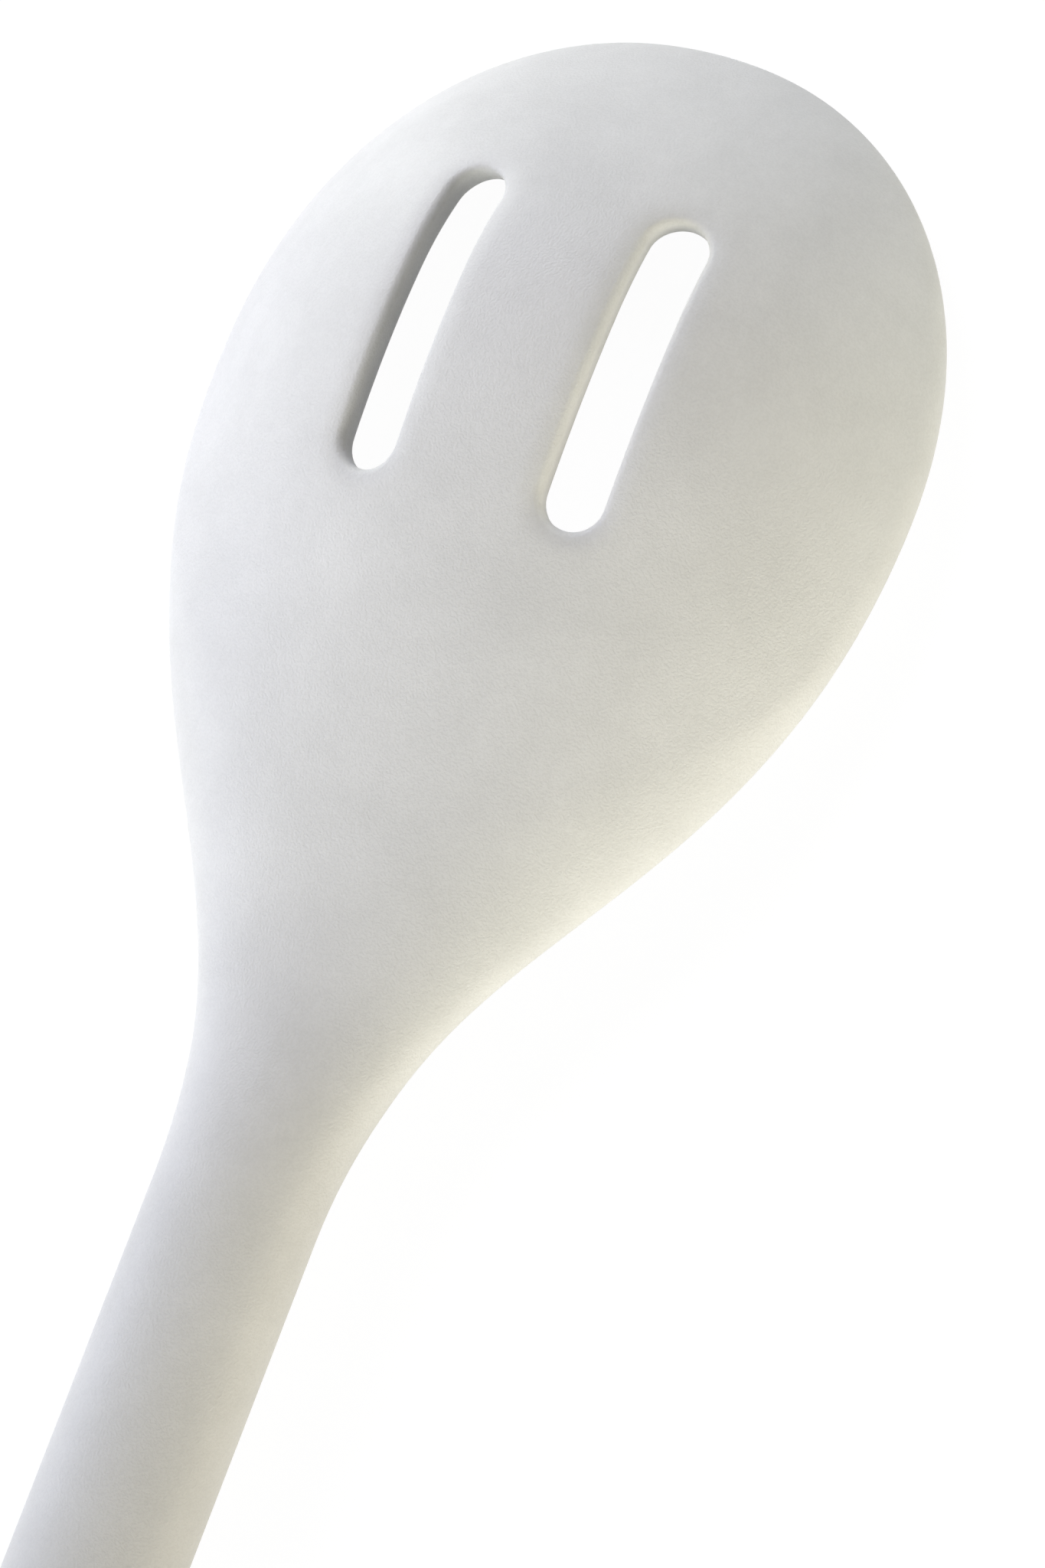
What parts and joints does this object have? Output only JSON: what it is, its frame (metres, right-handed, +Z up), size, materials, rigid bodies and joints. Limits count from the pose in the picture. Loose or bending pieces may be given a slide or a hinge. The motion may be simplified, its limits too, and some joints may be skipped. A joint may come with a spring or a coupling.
{
  "type": "slotted serving spoon",
  "caption": "Seamless matte silicone serving spoon with long slots through its oval dished bowl, a smooth neck and an oval handle with a hanging hole.",
  "frame": {"origin": "under the middle of the spoon, on the surface that it lies on face down, with the back of its bowl upwards", "axes": "+X from the butt of the handle to the tip of the bowl, +Y across the bowl, +Z up, away from the surface that the spoon lies on"},
  "size_m": [0.3, 0.076, 0.0228],
  "materials": {
    "silicone": "matte, very finely grained",
    "plate_steel": "pressed sheet, dull",
    "rod_steel": "drawn bar, dull",
    "core_nylon": "moulded, matte"
  },
  "bodies": {
    "root": {"silicone_jacket": "silicone", "bowl_plate": "plate_steel", "spine_rod": "rod_steel", "handle_core": "core_nylon"}
  },
  "joints": []
}
